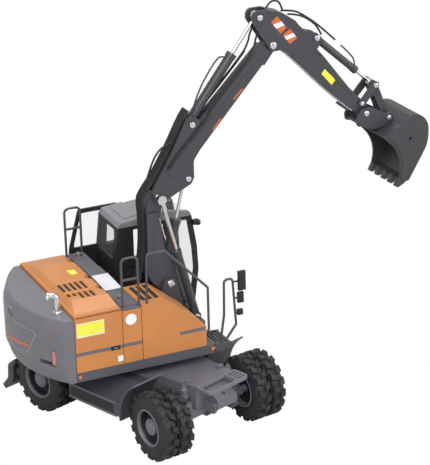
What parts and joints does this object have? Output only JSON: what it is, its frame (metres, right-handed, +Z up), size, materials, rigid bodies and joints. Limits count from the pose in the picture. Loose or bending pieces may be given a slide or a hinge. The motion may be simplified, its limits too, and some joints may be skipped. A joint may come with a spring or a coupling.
{
  "type": "scale model wheeled excavator",
  "caption": "Collector's scale model of a wheeled excavator with two-piece boom, turning upper carriage, twin tyres, dozer blade, open cab door and raised bucket.",
  "frame": {"origin": "on the floor under the wheels, on the axis about which the upper carriage slews", "axes": "+X forward over the arm, +Y to the driver's left, +Z up; the undercarriage is turned 69 degrees clockwise below"},
  "size_m": [0.1469, 0.0943, 0.1301],
  "materials": {
    "tyre": "matt moulded rubber",
    "rim_grey": "satin",
    "chassis_grey": "satin",
    "step_grey": "satin",
    "body_orange": "satin",
    "body_grey": "satin",
    "deck_grey": "satin",
    "arm_grey": "satin",
    "black": "matt",
    "cab_grey": "satin",
    "chrome": "polished",
    "glass": "clear",
    "lens_orange": "gloss",
    "lens_red": "gloss"
  },
  "bodies": {
    "chassis": {"chassis_frame": "chassis_grey", "side_boxes": "chassis_grey", "front_mudguards": "black", "front_step": "step_grey", "front_axle": "chassis_grey", "rear_axle": "chassis_grey"},
    "knuckle_right": {"knuckle_right": "chassis_grey"},
    "knuckle_left": {"knuckle_left": "chassis_grey"},
    "wheel_front_right": {"tyres_front_right": "tyre", "rim_front_right": "rim_grey"},
    "wheel_front_left": {"tyres_front_left": "tyre", "rim_front_left": "rim_grey"},
    "wheel_rear_right": {"tyres_rear_right": "tyre", "rim_rear_right": "rim_grey"},
    "wheel_rear_left": {"tyres_rear_left": "tyre", "rim_rear_left": "rim_grey"},
    "blade": {"blade": "arm_grey"},
    "superstructure": {"platform": "deck_grey", "counterweight": "body_grey", "engine_housing": "body_orange", "centre_housing": "body_orange", "walkway": "deck_grey", "front_box": "body_orange", "engine_hood": "body_orange", "deck_rails": "deck_grey", "front_rail": "deck_grey", "front_steps": "deck_grey", "mirrors": "black", "boom_bracket": "arm_grey", "cab_shell": "cab_grey", "cab_roof": "body_grey", "cab_glass": "glass", "driver_seat": "black", "cab_lamp": "black", "reflectors": "lens_orange", "tail_lamps": "lens_red", "exhaust": "chrome", "filler_caps": "chrome"},
    "cab_door": {"cab_door": "black", "door_glass": "glass"},
    "base_boom": {"base_boom": "arm_grey", "hoses_base": "black"},
    "upper_boom": {"upper_boom": "arm_grey", "hoses_boom": "black"},
    "dipper": {"dipper": "arm_grey", "hoses_arm": "black"},
    "rocker": {"rocker": "arm_grey"},
    "link": {"link": "arm_grey"},
    "bucket": {"coupler": "arm_grey", "bucket": "arm_grey"},
    "hoist_barrel": {"hoist_barrels": "arm_grey"},
    "hoist_rod": {"hoist_rods": "chrome"},
    "adjust_barrel": {"adjust_barrel": "arm_grey"},
    "adjust_rod": {"adjust_rod": "chrome"},
    "dipper_barrel": {"dipper_barrel": "arm_grey"},
    "dipper_rod": {"dipper_rod": "chrome"},
    "bucket_barrel": {"bucket_barrel": "arm_grey"},
    "bucket_rod": {"bucket_rod": "chrome"}
  },
  "joints": [
    {"name": "slew", "type": "hinge", "parent": "chassis", "child": "superstructure", "pos_m": [0, 0, 0], "axis": [0, 0, 1], "continuous": true},
    {"name": "steer_right", "type": "hinge", "parent": "chassis", "child": "knuckle_right", "pos_m": [0.00152, -0.03744, 0.0111], "axis": [0, 0, 1], "range_deg": [-4, 25.4]},
    {"name": "steer_left", "type": "hinge", "parent": "chassis", "child": "knuckle_left", "pos_m": [0.02392, -0.02884, 0.0111], "axis": [0, 0, 1], "range_deg": [-4, 25.4]},
    {"name": "wheel_front_right_spin", "type": "hinge", "parent": "knuckle_right", "child": "wheel_front_right", "pos_m": [0.00152, -0.03744, 0.0111], "axis": [0.9839, 0.1788, 0], "continuous": true},
    {"name": "wheel_front_left_spin", "type": "hinge", "parent": "knuckle_left", "child": "wheel_front_left", "pos_m": [0.02392, -0.02884, 0.0111], "axis": [0.9839, 0.1788, 0], "continuous": true},
    {"name": "wheel_rear_right_spin", "type": "hinge", "parent": "chassis", "child": "wheel_rear_right", "pos_m": [-0.01783, 0.01297, 0.0111], "axis": [0.9336, 0.3584, 0], "continuous": true},
    {"name": "wheel_rear_left_spin", "type": "hinge", "parent": "chassis", "child": "wheel_rear_left", "pos_m": [0.00457, 0.02157, 0.0111], "axis": [0.9336, 0.3584, 0], "continuous": true},
    {"name": "blade_lift", "type": "hinge", "parent": "chassis", "child": "blade", "pos_m": [-0.00968, 0.02521, 0.014], "axis": [0.9336, 0.3584, 0], "range_deg": [-15, 5]},
    {"name": "cab_door_swing", "type": "hinge", "parent": "superstructure", "child": "cab_door", "pos_m": [0.0086, 0.0257, 0.045], "axis": [0, 0, 1], "range_deg": [-180, 0]},
    {"name": "boom_lift", "type": "hinge", "parent": "superstructure", "child": "base_boom", "pos_m": [0.0136, 0, 0.0414], "axis": [0, -1, 0], "range_deg": [-40, 5]},
    {"name": "hoist_barrel_swing", "type": "hinge", "parent": "superstructure", "child": "hoist_barrel", "pos_m": [0.0217, 0, 0.029], "axis": [0, -1, 0], "range_deg": [-28.34, 3.98]},
    {"name": "hoist_rod_slide", "type": "slide", "parent": "hoist_barrel", "child": "hoist_rod", "axis": [-0.2484, 0, 0.9686], "range_m": [-0.00511, 0.00073]},
    {"name": "boom_adjust", "type": "hinge", "parent": "base_boom", "child": "upper_boom", "pos_m": [0.0108, 0, 0.0715], "axis": [0, 1, 0], "range_deg": [-12, 30]},
    {"name": "adjust_barrel_swing", "type": "hinge", "parent": "base_boom", "child": "adjust_barrel", "pos_m": [0.0138, 0, 0.0472], "axis": [0, 1, 0], "range_deg": [-2.91, 6.54]},
    {"name": "adjust_rod_slide", "type": "slide", "parent": "adjust_barrel", "child": "adjust_rod", "axis": [0.2512, 0, 0.9679], "range_m": [-0.00526, 0.00216]},
    {"name": "dipper_swing", "type": "hinge", "parent": "upper_boom", "child": "dipper", "pos_m": [0.0523, 0, 0.116], "axis": [0, 1, 0], "range_deg": [-15, 45]},
    {"name": "dipper_barrel_swing", "type": "hinge", "parent": "upper_boom", "child": "dipper_barrel", "pos_m": [0.0232, 0, 0.094], "axis": [0, 1, 0], "range_deg": [-2.92, 7.76]},
    {"name": "dipper_rod_slide", "type": "slide", "parent": "dipper_barrel", "child": "dipper_rod", "axis": [0.6115, 0, 0.7912], "range_m": [-0.0022, 0.00641]},
    {"name": "bucket_dump", "type": "hinge", "parent": "dipper", "child": "bucket", "pos_m": [0.0856, 0, 0.0883], "axis": [0, -1, 0], "range_deg": [-50, 35]},
    {"name": "rocker_swing", "type": "hinge", "parent": "dipper", "child": "rocker", "pos_m": [0.0844, 0, 0.0917], "axis": [0, -1, 0], "range_deg": [-48.61, 34.17]},
    {"name": "link_swing", "type": "hinge", "parent": "rocker", "child": "link", "pos_m": [0.0895, 0, 0.0972], "axis": [0, -1, 0], "range_deg": [-9.09, 12.77]},
    {"name": "bucket_barrel_swing", "type": "hinge", "parent": "dipper", "child": "bucket_barrel", "pos_m": [0.0685, 0, 0.116], "axis": [0, -1, 0], "range_deg": [-1.76, 1.39]},
    {"name": "bucket_rod_slide", "type": "slide", "parent": "bucket_barrel", "child": "bucket_rod", "axis": [0.7451, 0, -0.667], "range_m": [-0.00426, 0.00605]}
  ],
  "couplings": [
    {"joint": "steer_left", "follows": "steer_right", "ratio": 1},
    {"joint": "hoist_barrel_swing", "follows": "boom_lift", "ratio": 0.6959},
    {"joint": "hoist_rod_slide", "follows": "boom_lift", "m_per_rad": 0.007171},
    {"joint": "adjust_barrel_swing", "follows": "boom_adjust", "ratio": 0.20121},
    {"joint": "adjust_rod_slide", "follows": "boom_adjust", "m_per_rad": -0.009862},
    {"joint": "dipper_barrel_swing", "follows": "dipper_swing", "ratio": 0.16125},
    {"joint": "dipper_rod_slide", "follows": "dipper_swing", "m_per_rad": 0.008029},
    {"joint": "rocker_swing", "follows": "bucket_dump", "ratio": 0.96212},
    {"joint": "link_swing", "follows": "bucket_dump", "ratio": -0.24542},
    {"joint": "bucket_barrel_swing", "follows": "bucket_dump", "ratio": 0.025301},
    {"joint": "bucket_rod_slide", "follows": "bucket_dump", "m_per_rad": -0.006814}
  ]
}
